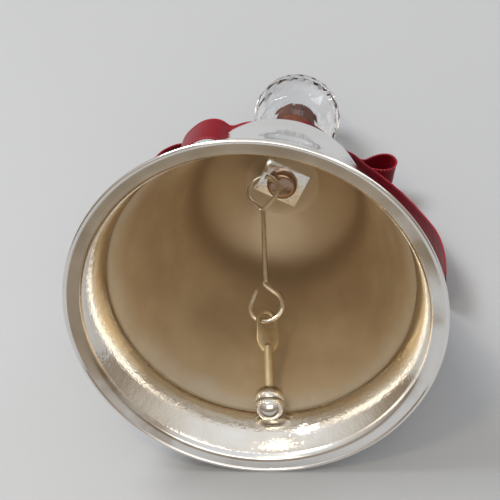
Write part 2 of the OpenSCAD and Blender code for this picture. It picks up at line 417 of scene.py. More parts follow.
def silver_outside():
    """Mirror silver plate with faint polishing swirls and fingered haze."""
    look = Look("silver_outside", Metallic=1.0)
    at = look.place(BELL)
    haze = look.noise(at, 0.11, 3)
    swirl = look.noise(look.scaled(at, 1, 1, 0.12), 1.6, 3)
    fine = look.noise(at, 2.2, 2)
    return look.set(
        Base_Color=look.ramp(haze, (0.35, (0.86, 0.845, 0.825)), (0.7, (0.92, 0.91, 0.90))),
        Roughness=look.span(haze, 0.35, 0.75, 0.025, 0.075),
        Normal=look.bump(fine, 0.35, 0.01, look.bump(swirl, 0.3, 0.03)),
    ).material


def silver_brim():
    """The flat lip: bright plate with a sparkling haze, and a painted warm tan reflection to one side."""
    look = Look("silver_brim", Metallic=1.0)
    at = look.place(BELL)
    cloud = look.noise(at, 0.09, 3)
    grain = look.noise(at, 2.6, 3, 0.65)
    # Painted reflection: the lip turns tan away from the table and to the left, standing in for the warm
    # room it mirrors.
    across = look.math("ADD", look.part(at, "Y"), look.math("MULTIPLY", look.part(at, "X"), 0.55))
    plain_plate_share = look.span(look.math("ADD", across, look.span(cloud, 0.3, 0.7, -14, 14)), -6, 34)
    painted_tan_reflection = look.ramp(cloud, (0.35, (0.40, 0.32, 0.23)), (0.65, (0.52, 0.43, 0.32)))
    return look.set(
        Base_Color=look.mix(plain_plate_share, painted_tan_reflection, (0.88, 0.875, 0.87)),
        Roughness=look.span(cloud, 0.3, 0.7, 0.13, 0.22),
        Normal=look.bump(grain, 0.35, 0.03),
    ).material


def silver_cove():
    """Bright plate just inside the lip, with the orange peel of its polish. The flare is relief in
    the shading alone: it leans the reflections towards the mouth, and fades out at both ends."""
    look = Look("silver_cove", Metallic=1.0)
    at = look.place(BELL)
    cloud = look.noise(at, 0.1, 3)
    peel = look.noise(at, 1.7, 2, 0.45)
    ripple = look.noise(look.scaled(at, 1, 1, 0.35), 0.45, 2)
    flare_depth = 5.2
    flare = look.bump(look.span(look.part(at, "Z"), -5, EDGE_H + 1), 1.0, flare_depth)
    return look.set(
        Base_Color=look.ramp(cloud, (0.35, (0.86, 0.80, 0.71)), (0.65, (0.94, 0.92, 0.88))),
        Roughness=look.span(cloud, 0.3, 0.7, 0.07, 0.15),
        Normal=look.bump(peel, 0.8, 0.05, look.bump(ripple, 0.6, 0.12, flare)),
    ).material


def silver_bowl():
    """The satin inside: a painted brown reflection, painted light towards the lip and painted shade in
    the crown.
    """
    look = Look("silver_bowl", Metallic=1.0)
    at = look.place(BELL)
    height = look.part(at, "Z")
    cloud = look.noise(at, 0.11, 3)
    grain = look.noise(at, 4.5, 3, 0.6)
    mottle = look.noise(at, 0.8, 3, 0.55)
    # Painted reflection: the satin's warm brown stands in for the brown room that the inside mirrors.
    satin = look.ramp(cloud, (0.3, (0.70, 0.575, 0.415)), (0.7, (0.82, 0.70, 0.52)))
    # Painted shade: the colour darkens deep in the crown, where little light reaches.
    painted_crown_shade = look.mix(look.span(height, 40, 50), satin, (0.52, 0.42, 0.30))
    # Painted light: the colour brightens towards the lip, where light comes in through the mouth.
    painted_lip_light = look.span(look.math("ADD", height, look.span(cloud, 0.3, 0.7, -2, 2)), 20, 11.5)
    satin_rough = look.span(height, 11, 16, 0.42, 0.52)
    return look.set(
        Base_Color=look.mix(painted_lip_light, painted_crown_shade, (0.90, 0.86, 0.77)),
        Roughness=look.math("ADD", satin_rough, look.span(cloud, 0.3, 0.7, 0, 0.05)),
        Normal=look.bump(grain, 0.3, 0.014, look.bump(mottle, 0.35, 0.03)),
    ).material


def bright_metal(name, colour, rough, peel_scale=1.2, peel=0.3):
    """Small polished fittings: a soft peel, fine scratches and a varying polish."""
    look = Look(name, Metallic=1.0)
    at = look.place(BELL)
    cloud = look.noise(at, 0.5, 3)
    scratch = look.noise(look.scaled(at, 9, 9, 0.8), 1.0, 3, 0.7)
    wave = look.noise(at, peel_scale, 2)
    dark = tuple(0.86 * c for c in colour)
    return look.set(
        Base_Color=look.ramp(cloud, (0.3, dark), (0.7, colour)),
        Roughness=look.span(cloud, 0.3, 0.75, rough, rough + 0.09),
        Normal=look.bump(scratch, 0.2, 0.01, look.bump(wave, peel, 0.05)),
    ).material


def hammered_metal():
    """Bright sheet with small beaten dents."""
    look = Look("hammered_sheet", Metallic=1.0)
    at = look.place(BELL)
    cells = look.add("TexVoronoi", {"Vector": at, "Scale": 1.15, "Smoothness": 0.6, "Randomness": 0.9},
                     feature="SMOOTH_F1")
    cloud = look.noise(at, 0.9, 3)
    fine = look.noise(at, 5, 2)
    return look.set(
        Base_Color=look.ramp(cloud, (0.3, (0.92, 0.92, 0.91)), (0.7, (0.97, 0.97, 0.96))),
        Roughness=look.span(cloud, 0.3, 0.7, 0.18, 0.28),
        Normal=look.bump(fine, 0.2, 0.015, look.bump(cells, 0.5, 0.07)),
    ).material


def wood():
    """Turned red-brown wood with its grain along the bell's axis."""
    look = Look("plug_wood", Specular_IOR_Level=0.25)
    at = look.place(BELL)
    grain = look.noise(look.scaled(at, 2.6, 2.6, 0.22), 1.0, 4, 0.65, 0.6)
    pores = look.noise(look.scaled(at, 9, 9, 0.9), 1.0, 2, 0.7)
    colour = look.ramp(grain, (0.3, (0.07, 0.018, 0.009)), (0.55, (0.14, 0.042, 0.022)),
                       (0.75, (0.21, 0.075, 0.040)))
    return look.set(
        Base_Color=look.mix(look.span(pores, 0.6, 0.75, 0, 0.6), colour, (0.045, 0.014, 0.008)),
        Roughness=look.span(grain, 0.3, 0.7, 0.5, 0.7),
        Normal=look.bump(pores, 0.5, 0.05),
    ).material


def crystal():
    """Clear lead crystal with a hardly visible haze on its facets."""
    look = Look("clear_crystal", Transmission_Weight=1.0, IOR=1.52)
    haze = look.noise(look.place(BELL), 0.6, 3)
    return look.set(
        Base_Color=look.ramp(haze, (0.3, (0.975, 0.98, 0.985)), (0.7, (1, 1, 1))),
        Roughness=look.span(haze, 0.45, 0.8, 0.0, 0.02),
    ).material


def satin_ribbon():
    """Crimson satin: long warp floats along the ribbon, and a corded selvedge with a painted highlight on
    each stitch.
    """
    look = Look("crimson_satin", Sheen_Weight=0.03, Sheen_Roughness=0.4, Specular_IOR_Level=0.22,
                Sheen_Tint=(1.0, 0.55, 0.55, 1))
    cloth = look.add("Attribute", out="Vector", attribute_name="cloth")
    floats = look.noise(look.scaled(cloth, 0.5, 14, 0), 1.0, 3, 0.7)
    threads = look.noise(look.scaled(cloth, 1.4, 26, 0), 1.0, 2, 0.6)
    crepe = look.noise(cloth, 0.5, 2)
    from_middle = look.math("ABSOLUTE", look.part(cloth, "Y"))
    selvedge = look.span(from_middle, RIBBON_W / 2 - 0.75, RIBBON_W / 2 - 0.45)
    stitch_turn = look.math("MULTIPLY", look.part(cloth, "X"), 2 * pi / STITCH)
    # Painted highlight: each stitch of the selvedge is lighter, standing in for the glint on its cord.
    stitch_highlight = look.span(look.math("SINE", stitch_turn), 0.1, 0.8)
    body = look.ramp(floats, (0.3, (0.15, 0.0012, 0.009)), (0.7, (0.22, 0.0022, 0.014)))
    shaded = look.mix(look.span(crepe, 0.4, 0.7, 0, 0.35), body, (0.15, 0.0012, 0.009))
    edge = look.mix(stitch_highlight, (0.19, 0.002, 0.012), (0.42, 0.03, 0.05))
    return look.set(
        Base_Color=look.mix(selvedge, shaded, edge),
        Roughness=look.span(threads, 0.3, 0.7, 0.30, 0.48),
        Normal=look.bump(threads, 0.35, 0.03),
    ).material


OUTSIDE = silver_outside()
BRIM = silver_brim()
COVE = silver_cove()
BOWL = silver_bowl()
FITTING = bright_metal("silver_fitting", (0.90, 0.885, 0.86), 0.05)
WIRE = bright_metal("drawn_wire", (0.86, 0.80, 0.72), 0.10, 2.0, 0.2)
SCREW = bright_metal("polished_screw", (0.42, 0.29, 0.22), 0.08, 1.4, 0.35)
BRONZE = bright_metal("satin_bronze", (0.72, 0.61, 0.42), 0.30, 1.6, 0.25)
MIRROR = bright_metal("mirror_ball", (0.90, 0.86, 0.80), 0.03, 0.6, 0.05)
HAMMERED = hammered_metal()
WOOD = wood()
CRYSTAL = crystal()
SATIN = satin_ribbon()

# ---------------------------------------------------------------- bell and knob

AROUND = 240


def wall_outline():
    """The outside of the wall from the lip to the crown, as (radius, height)."""
    return smooth([(LIP_R, 0.2), (LIP_R - 1.5, 0.75), (LIP_R - 2.9, 2), (LIP_R - 3.9, 5),
                   (LIP_R - 5.2, 11), (LIP_R - 7.4, 17), (LIP_R - 12, 29), (LIP_R - 16, 40.5),
                   (SHOULDER_R, SHOULDER_H - 1.6), (SHOULDER_R - 1.6, SHOULDER_H + 2.4),
                   (SHOULDER_R - 6, SHOULDER_H + 5.9), (8.5, CROWN_TOP - 0.5), (HOLE_R, CROWN_TOP)], 10)


def bell_shell():
    """The spun shell: mirror outside, a flat lip with a rolled edge, a bright cove and a satin bowl.
    Inside, the corners at the shoulder and crown are eased, so they are rounder than outside."""
    wall = wall_outline()
    inside = beside(wall, WALL)
    inside = inside[(inside[:, 1] > 1.3) & (inside[:, 1] < SEAT_H - 0.25) & (inside[:, 0] > 6)]
    bead = arc(LIP_R - BEAD_R, BEAD_R, BEAD_R, 105, -160, 18)
    outside = wall[wall[:, 1] > 0.82][::-1]
    flat = [(LIP_R - 1.6, 0.34), (LIP_R - 2.5, 0.42), (LIP_R - 3.2, 0.7)]
    flange = smooth([bead[-1], *flat, inside[0]], 6)[1:-1]
    cove = inside[inside[:, 1] < EDGE_H]
    bowl = inside[inside[:, 1] > EDGE_H + EDGE_BLEND]
    rounding_passes = 60
    for _ in range(rounding_passes):
        bowl[1:-1] = (bowl[:-2] + 2 * bowl[1:-1] + bowl[2:]) / 4
    step = np.array([cove[-1] + (-0.06, 0.35), bowl[0] + (-0.03, -0.2)])
    seat = [(5.2, SEAT_H - 0.02), (4, SEAT_H), (HOLE_R, SEAT_H)]
    stretches = ((outside, 0), (bead, 0), (flange, 1), (cove, 2), (step, 2), (bowl, 3), (seat, 3))
    profile = np.concatenate([points for points, _ in stretches])
    looks = np.concatenate([[look] * len(points) for points, look in stretches])
    shell = lathe("bell_shell_silver", profile, AROUND, wobble=0.05, looks=looks)
    return finish_piece(shell, BELL, [OUTSIDE, BRIM, COVE, BOWL], "bell", "silver_plate", "bell_shell",
                        crease=60)


def hanger_plate():
    """The square plate with its turned-down tab, bent from one sheet and beaten."""
    bend = 0.9
    top, under = SEAT_H - 0.02, PLATE_FACE
    left = TAB_X - PLATE_T / 2
    foot = PLATE_FACE - TAB_H
    plate = prism("hanger_plate_hammered",
                  [(left + 0.2, -PLATE_W / 2), (PLATE_L / 2, -PLATE_W / 2), (PLATE_L / 2, PLATE_W / 2),
                   (left + 0.2, PLATE_W / 2)], under, top)
    outline = np.concatenate([
        arc(left + bend, top - bend, bend, 90, 180, 6), [(left, foot)],
        [(left + PLATE_T, foot)], arc(left + PLATE_T + 0.3, under - 0.3, 0.3, 180, 90, 4),
        [(left + 2.4, under), (left + 2.4, top)]])
    tab = prism("tab", outline, -(TAB_SHIFT + TAB_W / 2), -(TAB_SHIFT - TAB_W / 2), axis="Y")
    combine(plate, tab, "UNION")
    drill = lathe("drill", [(0, -3), (TAB_HOLE_R, -3), (TAB_HOLE_R, 3), (0, 3)], 40)
    drill.data.transform(Matrix.Translation((TAB_X, TAB_SHIFT, PLATE_FACE - TAB_HOLE_H))
                         @ Matrix.Rotation(pi / 2, 4, "Y"))
    combine(plate, drill, "DIFFERENCE")
    bore = lathe("bore", [(0, 50), (SHANK_R + 0.15, 50), (SHANK_R + 0.15, 65), (0, 65)], 40)
    combine(plate, bore, "DIFFERENCE")
    bevel(plate, 0.16, 3)
    place = BELL @ Matrix.Rotation(radians(PLATE_TURN), 4, "Z")
    return finish_piece(plate, place, [HAMMERED], "bell", "hanger_metal", "hanger_plate", crease=30)


def knob_screw():
    """A pan head screw with a cross recess, which narrows as it deepens, and a plain shank."""
    head = [(0, -HEAD_H)] + [(r, -HEAD_H + 0.06 * (r / 2.4) ** 2) for r in (0.8, 1.6, 2.4)]
    head += [tuple(q) for q in arc(HEAD_R - 1.1, -HEAD_H + 1.16, 1.1, 270, 360, 8)]
    head += [(HEAD_R, -0.08), (HEAD_R - 0.08, 0), (SHANK_R + 0.25, 0), (SHANK_R, 0.25)]
    head += [(SHANK_R, SHANK_L - 1.5), (0.4, SHANK_L), (0, SHANK_L)]
    screw = lathe("knob_screw_polished", head, 72)
    for turn in (0, 90):
        half = [(-1.75, 0.43), (-0.55, 0.5), (0.55, 0.5), (1.75, 0.43)]
        wing = half + [(-x, -y) for x, y in half]
        cutter = prism("wing", wing, -HEAD_H - 0.8, -HEAD_H + 1.1)
        for v in cutter.data.vertices:
            if v.co.z > -HEAD_H:
                v.co.x *= 0.72
                v.co.y *= 0.8
        cutter.data.transform(Matrix.Rotation(radians(turn + 12), 4, "Z"))
        combine(screw, cutter, "DIFFERENCE")
    bevel(screw, 0.07, 2, 50)
    place = BELL @ Matrix.Translation((0, 0, PLATE_FACE))
    return finish_piece(screw, place, [SCREW], "bell", "screw_metal", "knob_screw", crease=35)


def neck_spool():
    """The spool between the crown and the ball, whose groove holds the ribbon."""
    base, top = CROWN_TOP + 0.05, NECK_TOP - 0.05
    profile = np.concatenate([
        [(SHANK_R + 0.2, base), (7.8, base)], arc(7.9, base + 0.45, 0.4, -80, 60, 6),
        arc(7.2, base + 1.9, 0.75, -50, -170, 8)[:5], [(6.6, base + 1.95), (NECK_R + 0.35, base + 2.5)],
        [(NECK_R, base + 3.2), (NECK_R, top - 3.4)],
        smooth([(NECK_R, top - 2.4), (NECK_R + 0.2, top - 1.9), (5.1, top - 1.3)], 4),
        arc(4.7, top - 0.5, 0.5, -30, 90, 6), [(SHANK_R + 0.2, top)]])
    spool = lathe("neck_spool_silver", profile, 120)
    return finish_piece(spool, BELL, [FITTING], "bell", "silver_plate", "neck_spool", crease=50)


def ball_cup():
    """The turned wooden cup that the ball sits in."""
    foot = NECK_TOP + 0.05
    inner = [((BALL_R + 0.06) * sin(a), BALL_H - (BALL_R + 0.06) * cos(a))
             for a in np.radians(np.linspace(28, 22, 5))]
    seam = inner[0][1]
    profile = np.concatenate([
        [(PLUG_R + 0.15, foot), (4.6, foot)], arc(4.6, foot + 0.3, 0.3, -90, 0, 4),
        smooth([(4.92, foot + 0.6), (4.86, foot + 1.6), (5.0, foot + 2.8), (5.25, seam - 0.3)], 5),
        [(5.28, seam - 0.1), (5.2, seam)], inner, [(PLUG_R + 0.15, BALL_BOTTOM + 0.7)]])
    cup = lathe("ball_cup_wood", profile, 120)
    return finish_piece(cup, BELL, [WOOD], "bell", "plug_wood", "ball_cup", crease=50)


def knob_plug():
    """The slit wooden plug that the screw bites into."""
    low, high = NECK_TOP + 0.05, PLUG_TOP
    profile = [(0, low), (PLUG_R - 0.3, low), (PLUG_R, low + 0.3), (PLUG_R, high - 0.5)]
    profile += [tuple(q) for q in arc(PLUG_R - 0.5, high - 0.5, 0.5, 0, 90, 5)][1:]
    profile += [(1.2, high + 0.05), (0, high)]
    plug = lathe("knob_plug_wood", profile, 72)
    for x in (-0.2, 1.7):
        left, right = x - 0.13, x + 0.13
        slit = prism("slit", [(left, -6), (right, -6), (right, 6), (left, 6)], high - 6, high + 2)
        combine(plug, slit, "DIFFERENCE")
    return finish_piece(plug, BELL, [WOOD], "bell", "plug_wood", "knob_plug", crease=40)


def crystal_ball():
    """A ball cut with rows of flat facets, each row staggered from the last."""
    rows = [(-72, 8), (-54, 14), (-36, 18), (-18, 20), (0, 20), (18, 20), (36, 18), (54, 14), (72, 8)]
    points = [(0, 0, BALL_H + BALL_R), (0, 0, BALL_H - BALL_R)]
    for i, (lift, n) in enumerate(rows):
        for k in range(n):
            a = 2 * pi * (k + (i % 2) / 2) / n
            r = BALL_R * cos(radians(lift))
            points.append((r * cos(a), r * sin(a), BALL_H + BALL_R * sin(radians(lift))))
    bm = bmesh.new()
    for p in points:
        bm.verts.new(p)
    bmesh.ops.convex_hull(bm, input=bm.verts)
    bmesh.ops.dissolve_limit(bm, angle_limit=radians(0.8), verts=bm.verts, edges=bm.edges)
    bmesh.ops.bevel(bm, geom=bm.edges, offset=0.05, segments=1, affect="EDGES")
    ball = make_mesh("crystal_ball_cut", [], [])
    bm.to_mesh(ball.data)
    bm.free()
    return finish_piece(ball, BELL, [CRYSTAL], "bell", "crystal", "crystal_ball", crease=1)


# ---------------------------------------------------------------- clapper

EYE_SIDE = acos(EYE_R / EYE_NECK)
STEM_TOP = EYE_R + EYE_NECK


def eye_arc(low, high, z, way, steps=36):
    a = np.linspace(low, high, steps + 1)
    return np.stack([EYE_R * np.sin(a), z + way * EYE_R * np.cos(a)], axis=1)


def clapper_link():
    """One wire: round the hook's eye, down the stem and round the open lower eye."""
    top_end = 2 * pi - EYE_SIDE
    low_z = LINK_L - EYE_R
    first = eye_arc(top_end, EYE_SIDE, EYE_R, 1)
    last = eye_arc(EYE_SIDE, top_end - radians(16), low_z, -1)
    path = np.concatenate([
        [0.75 * np.array([0, STEM_TOP]) + 0.25 * first[0]], first,
        smooth([first[-1], (0, STEM_TOP - 0.4), (0, STEM_TOP + 0.6)], 6)[2:],
        smooth([(0, LINK_L - STEM_TOP - 0.6), (0, LINK_L - STEM_TOP + 0.4), last[0]], 6)[:-2], last,
        [0.55 * np.array([-1.6, LINK_L - STEM_TOP]) + 0.45 * last[-1]]])
    link = tube("clapper_link_wire", path, WIRE_R)
    return finish_piece(link, LINK, [WIRE], "link", "wire", "clapper_link", crease=60)


def clapper_stem():
    """The clapper's flattened and pierced end, and the rod below it."""
    shoulder = [(PADDLE_R, 4.9), (PADDLE_R - 0.35, 5.7), (PADDLE_R - 0.95, 6.7), (ROD_R, 7.3)]
    outline = [tuple(q) for q in arc(0, 0, PADDLE_R, 180, 360, 36)] + shoulder
    outline += [(-x, z) for x, z in reversed(shoulder)]
    paddle = prism("clapper_stem_bronze", outline, -PADDLE_T / 2, PADDLE_T / 2, axis="Y")
    hole = lathe("hole", [(0, -3), (PADDLE_HOLE_R, -3), (PADDLE_HOLE_R, 3), (0, 3)], 40)
    hole.data.transform(Matrix.Rotation(pi / 2, 4, "X"))
    combine(paddle, hole, "DIFFERENCE")
    bevel(paddle, 0.16, 3)
    end = CLAPPER_L - CLAPPER_R - 0.3
    rod = lathe("rod", [(0, 5.4), (0.6, 5.5), (ROD_R, 6.2), (ROD_R, end), (0, end)], 40)
    combine(paddle, rod, "UNION")
    return finish_piece(paddle, CLAPPER, [BRONZE], "clapper", "satin_bronze", "clapper_stem", crease=32)


def clapper_collar():
    """The domed collar between the rod and the ball."""
    foot = CLAPPER_L - 0.9
    seat_r = CLAPPER_R + 0.03
    bore = ROD_R + 0.03
    profile = [(bore, foot - 3.25)]
    profile += [(bore + 0.05 + (3.12 - ROD_R) * cos(a), foot - 1.05 - 2.15 * sin(a))
                for a in np.radians(np.linspace(86, 0, 14))]
    profile += [(3.2, foot - 0.35), (3.12, foot - 0.1), (seat_r - 0.1, foot)]
    profile += [(r, CLAPPER_L - sqrt(seat_r ** 2 - r ** 2)) for r in (2.6, 1.6, bore)]
    collar = lathe("clapper_collar_silver", profile, 72)
    return finish_piece(collar, CLAPPER, [WIRE], "clapper", "satin_bronze", "clapper_collar", crease=50)


def clapper_ball():
    """The mirror ball, with the faint line where its halves meet and a small dimple at its pole."""
    profile = []
    for a in np.radians(np.linspace(0, 180, 61)):
        groove = 0.035 * np.exp(-((np.degrees(a) - 90) / 1.8) ** 2)
        dimple = 0.14 * np.exp(-((np.degrees(a)) / 9) ** 2)
        r = CLAPPER_R - groove - dimple
        profile.append((max(0, r * sin(a)) if 0.001 < a < pi - 0.001 else 0, CLAPPER_L + r * cos(a)))
    ball = lathe("clapper_ball_mirror", profile, 96)
    return finish_piece(ball, CLAPPER, [MIRROR], "clapper", "polished_ball", "clapper_ball", crease=180)


# ---------------------------------------------------------------- ribbon

CELLS = np.array([-1, -0.975, -0.95, -0.925, -0.9, -0.8, -0.65, -0.5, -0.33, -0.17, 0,
                  0.17, 0.33, 0.5, 0.65, 0.8, 0.9, 0.925, 0.95, 0.975, 1])


def strip_edges(rows, step):
    """The strip's two edges at even steps along it, and how far along each step is."""
    rough = smooth([tuple(a) + tuple(b) for a, b in rows], 24)
    middle = (rough[:, :3] + rough[:, 3:]) / 2
    run = np.concatenate([[0], np.cumsum(np.linalg.norm(np.diff(middle, axis=0), axis=1))])
    at = np.linspace(0, run[-1], int(run[-1] / step) + 1)
    line = np.stack([np.interp(at, run, rough[:, k]) for k in range(6)], axis=1)
    for _ in range(30):
        line[1:-1] = 0.25 * line[:-2] + 0.5 * line[1:-1] + 0.25 * line[2:]
    return line[:, :3], line[:, 3:], at


def strip_rise(at, gather, sway, seed):
    """How far each point stands off the flat strip, from its pleats and its own slow waves."""
    share = at / at[-1]
    rise = np.zeros((len(at), len(CELLS)))
    for where, pleats, depth in gather:
        near = np.exp(-((share - where) / 0.11) ** 2)[:, None]
        rise += depth * near * np.cos(pleats * pi * CELLS + 0.6 * seed)
    for i, run in enumerate(at):
        s = run * 0.09 + seed * 7
        lift, roll = (noise.noise(Vector((s, y, seed))) for y in (0.4, 5.1))
        rise[i] += sway * (lift + 0.7 * CELLS * roll)
        rise[i] += 0.22 * sway * CELLS ** 2 * noise.noise(Vector((run * 0.45, 9.3, seed)))
    return rise


def strip_faces(count):
    """The faces of a closed strip: its top, its underside, its two sides and its two ends."""
    n = len(CELLS)
    under = count * n
    faces = []
    for i in range(count - 1):
        for k in range(n - 1):
            a, b = i * n + k, (i + 1) * n + k
            faces.append((a, a + 1, b + 1, b))
            faces.append((under + a, under + b, under + b + 1, under + a + 1))
        for k in (0, n - 1):
            a, b = i * n + k, (i + 1) * n + k
            faces.append((a, b, under + b, under + a) if k == 0 else (a, under + a, under + b, b))
    for k in range(n - 1):
        faces.append((k, under + k, under + k + 1, k + 1))
    for k in range(n - 1):
        a = (count - 1) * n + k
        faces.append((a, a + 1, under + a + 1, under + a))
    return faces


def strip(node, rows, gather=(), sway=0.25, seed=0.0, step=0.2):
    """A ribbon on the table's frame. Its rows give the two ends of its width, first the edge
    towards the crown, and gather lists (share of the length, pleats, depth) where it's pinched."""
    near_edge, far_edge, at = strip_edges(rows, step)
    out = np.cross(np.gradient((near_edge + far_edge) / 2, axis=0), far_edge - near_edge)
    out /= np.linalg.norm(out, axis=1)[:, None]
    v = CELLS[None, :]
    across = ((1 + v) / 2)[:, :, None]
    rise = strip_rise(at, gather, sway, seed)
    base = (near_edge[:, None, :] * (1 - across) + far_edge[:, None, :] * across
            + out[:, None, :] * rise[:, :, None])
    cord = ease((np.abs(v) - 0.9) / 0.05)
    beads = 0.5 + 0.5 * np.cos(2 * pi * at / STITCH)[:, None]
    half = (FILM + cord * (0.05 + 0.08 * beads)) * np.where(np.abs(v) > 0.99, 0.55, 1.0)
    thickness = out[:, None, :] * half[:, :, None]
    points = np.concatenate([(base + thickness).reshape(-1, 3), (base - thickness).reshape(-1, 3)])
    obj = make_mesh(f"{node}_satin", points, strip_faces(len(at)))
    cloth = np.zeros((len(at), len(CELLS), 3))
    cloth[:, :, 0] = at[:, None]
    cloth[:, :, 1] = v * RIBBON_W / 2
    cloth[:, :, 2] = seed
    flat = np.concatenate([cloth.reshape(-1, 3)] * 2).astype(np.float32)
    obj.data.attributes.new("cloth", "FLOAT_VECTOR", "POINT").data.foreach_set("vector", flat.ravel())
    obj["length_mm"] = float(at[-1])
    return finish_piece(obj, TABLE, [SATIN], "bell", "ribbon_satin", node, crease=180)


MIDDLE_H = BAND_H + RIBBON_W / 2
KNOT = np.array([0, -NECK_R - 3.0, MIDDLE_H])


def on_neck(x, y, z):
    """A point of the bell's frame, in the table's."""
    return tuple(TABLE.inverted() @ (BELL @ Vector((x, y, z))))


def ribbon_loops():
    """The bow's two loops. They stand on the table on their edges, and both ends of each are
    pinched into the knot."""
    left = [(on_neck(-1.6, -8.1, 66.4), on_neck(-1.6, -8.1, 71.4)),
            (on_neck(-3.4, -8, 67), on_neck(-3.4, -7.8, 72.6)),
            (on_neck(-5.2, -7.3, 68), on_neck(-5.3, -6.4, 74.2)),
            (on_neck(-8.6, -5.6, 71.6), on_neck(-8.8, -1.6, 79.2)),
            ((-13.6, 75.2, 15.2), (-12.8, 79.6, 6.6)), ((-18, 78.4, 12.2), (-17.4, 81.4, 2.2)),
            ((-22.8, 80.8, 11.2), (-22.6, 82, 0.4)), ((-28, 82.2, 11.2), (-28, 82.8, 0.2)),
            ((-32, 80.4, 11.2), (-32.2, 80.8, 0.2)), ((-34.2, 77.7, 11.2), (-34.6, 77.8, 0.2)),
            ((-35, 75.2, 11.2), (-35.4, 75.2, 0.2)), ((-33.9, 72.9, 11.2), (-34.2, 73, 0.2)),
            ((-30.8, 72.2, 11.2), (-30.8, 72.5, 0.2)), ((-26, 73.2, 11.4), (-26, 74, 0.5)),
            ((-20.4, 73.6, 12.8), (-20, 75.6, 2.2)), ((-15, 72.8, 15.6), (-14.2, 76.8, 6)),
            (on_neck(-9.2, -4.2, 69.8), on_neck(-8.6, -0.2, 77.4)),
            (on_neck(-5, -6, 66.8), on_neck(-4.8, -4.7, 72.8)),
            (on_neck(-3.2, -7, 66.4), on_neck(-3.2, -6.9, 71.8)),
            (on_neck(-1.6, -7.3, 66.4), on_neck(-1.6, -7.3, 71.2))]
    right = [(on_neck(1.6, -8.3, 65.8), on_neck(1.6, -8.3, 71.8)),
             (on_neck(3.4, -8.6, 67), on_neck(3.4, -8.6, 72.6)),
             (on_neck(5.2, -8.5, 68.2), on_neck(5.4, -7.8, 74.2)),
             (on_neck(8.6, -6.4, 71.4), on_neck(8.8, -2.2, 79)),
             ((13.6, 73.4, 15.2), (12.6, 78, 7.5)), ((17.4, 73.6, 11.8), (16.6, 77.2, 1.6)),
             ((19.2, 75.3, 11.2), (18.2, 76.6, 0.5)), ((21.6, 76.4, 11.2), (20.3, 77, 0.3)),
             ((24, 76.3, 11.2), (22, 76.3, 0.3)), ((25.6, 74.4, 11.2), (23, 74.4, 0.3)),
             ((25.5, 72, 11.2), (22.9, 72.2, 0.3)), ((23.8, 70.6, 11.2), (21.7, 71, 0.3)),
             ((20.6, 70.4, 11.6), (19.4, 71.4, 0.8)), ((17, 70.6, 13.2), (16.6, 73, 2.6)),
             ((13, 70.9, 16.6), (11.8, 75.4, 7.6)),
             (on_neck(8.2, -5.4, 69.6), on_neck(8.2, -1.4, 77)),
             (on_neck(5.2, -7, 67.2), on_neck(5.2, -5.9, 73.4)),
             (on_neck(3.4, -7.7, 66.6), on_neck(3.4, -7.5, 72)),
             (on_neck(1.6, -7.6, 65.8), on_neck(1.6, -7.6, 71.6))]
    for name, rows, seed in (("left", left, 1.0), ("right", right, 3.0)):
        obj = strip(f"ribbon_loop_{name}", rows, gather=[(0.0, 4, 0.45), (1.0, 4, 0.45)], seed=seed)


def ribbon_tails():
    """The right tail turns on its edge and lies along the bell, and the left one arches over and
    comes down beyond the bell's shoulder."""
    right = [(on_neck(1.6, -6.9, 66), on_neck(1.6, -6.9, 71)),
             (on_neck(3.2, -6.6, 65.6), on_neck(3.2, -6.3, 71)),
             (on_neck(4.8, -5.9, 65.4), on_neck(4.6, -4.8, 71.4)),
             (on_neck(8.8, -4.8, 66.6), on_neck(7.8, -0.6, 74.4)),
             ((15.1, 67.3, 20), (13.5, 71.3, 10.2)), ((18.6, 66.2, 17), (17.6, 68.6, 6)),
             ((21.9, 65.9, 14), (21.6, 65.2, 3.1)), ((24.7, 64, 12.7), (24.6, 63.4, 1.7)),
             ((27.8, 61, 11.7), (27.8, 60.8, 0.7)), ((31.1, 56.4, 11.3), (31, 56.2, 0.3)),
             ((35.2, 49.4, 11.2), (35.1, 49.4, 0.2)), ((36.9, 42.4, 11.2), (36.9, 42.4, 0.2)),
             ((37.2, 36, 11.2), (37.2, 36, 0.2))]
    arch = [(-1.6, -8.9, 2.8), (-4.6, -8.7, 3.2), (-9, -8.9, 4.5), (-13.3, -7.4, 5.5),
            (-15, -8.8, 5.5), (-17.2, -9.6, 5.5), (-20.2, -9, 5.5), (-22.6, -7.4, 5.5),
            (-24.8, -5, 5.5), (-26.4, -1.2, 5.5), (-27.6, 4, 5.5), (-28.8, 9.4, 5.5),
            (-30.4, 14, 5.5), (-31.2, 16.4, 5.5)]
    left = [(on_neck(x, y, MIDDLE_H - w), on_neck(x, y, MIDDLE_H + w)) for x, y, w in arch]
    for name, rows, seed in (("right", right, 4.0), ("left", left, 5.0)):
        obj = strip(f"ribbon_tail_{name}", rows, gather=[(0.0, 4, 0.4)], seed=seed, sway=0.2)


def ribbon_band():
    """The turn of ribbon round the neck, under the knot."""
    rows = []
    turns = 14
    for k in range(turns + 1):
        a = radians(-90 + 370 * k / turns)
        radius = NECK_R + 0.55 + 0.35 * k / turns
        h = MIDDLE_H + 0.3 * sin(a)
        rows.append([on_neck(radius * cos(a), radius * sin(a), h + d) for d in (-5.2, 5.2)])
    obj = strip("ribbon_band", rows, gather=[(0.0, 3, 0.2), (1.0, 3, 0.2)], sway=0.1, seed=6.0)


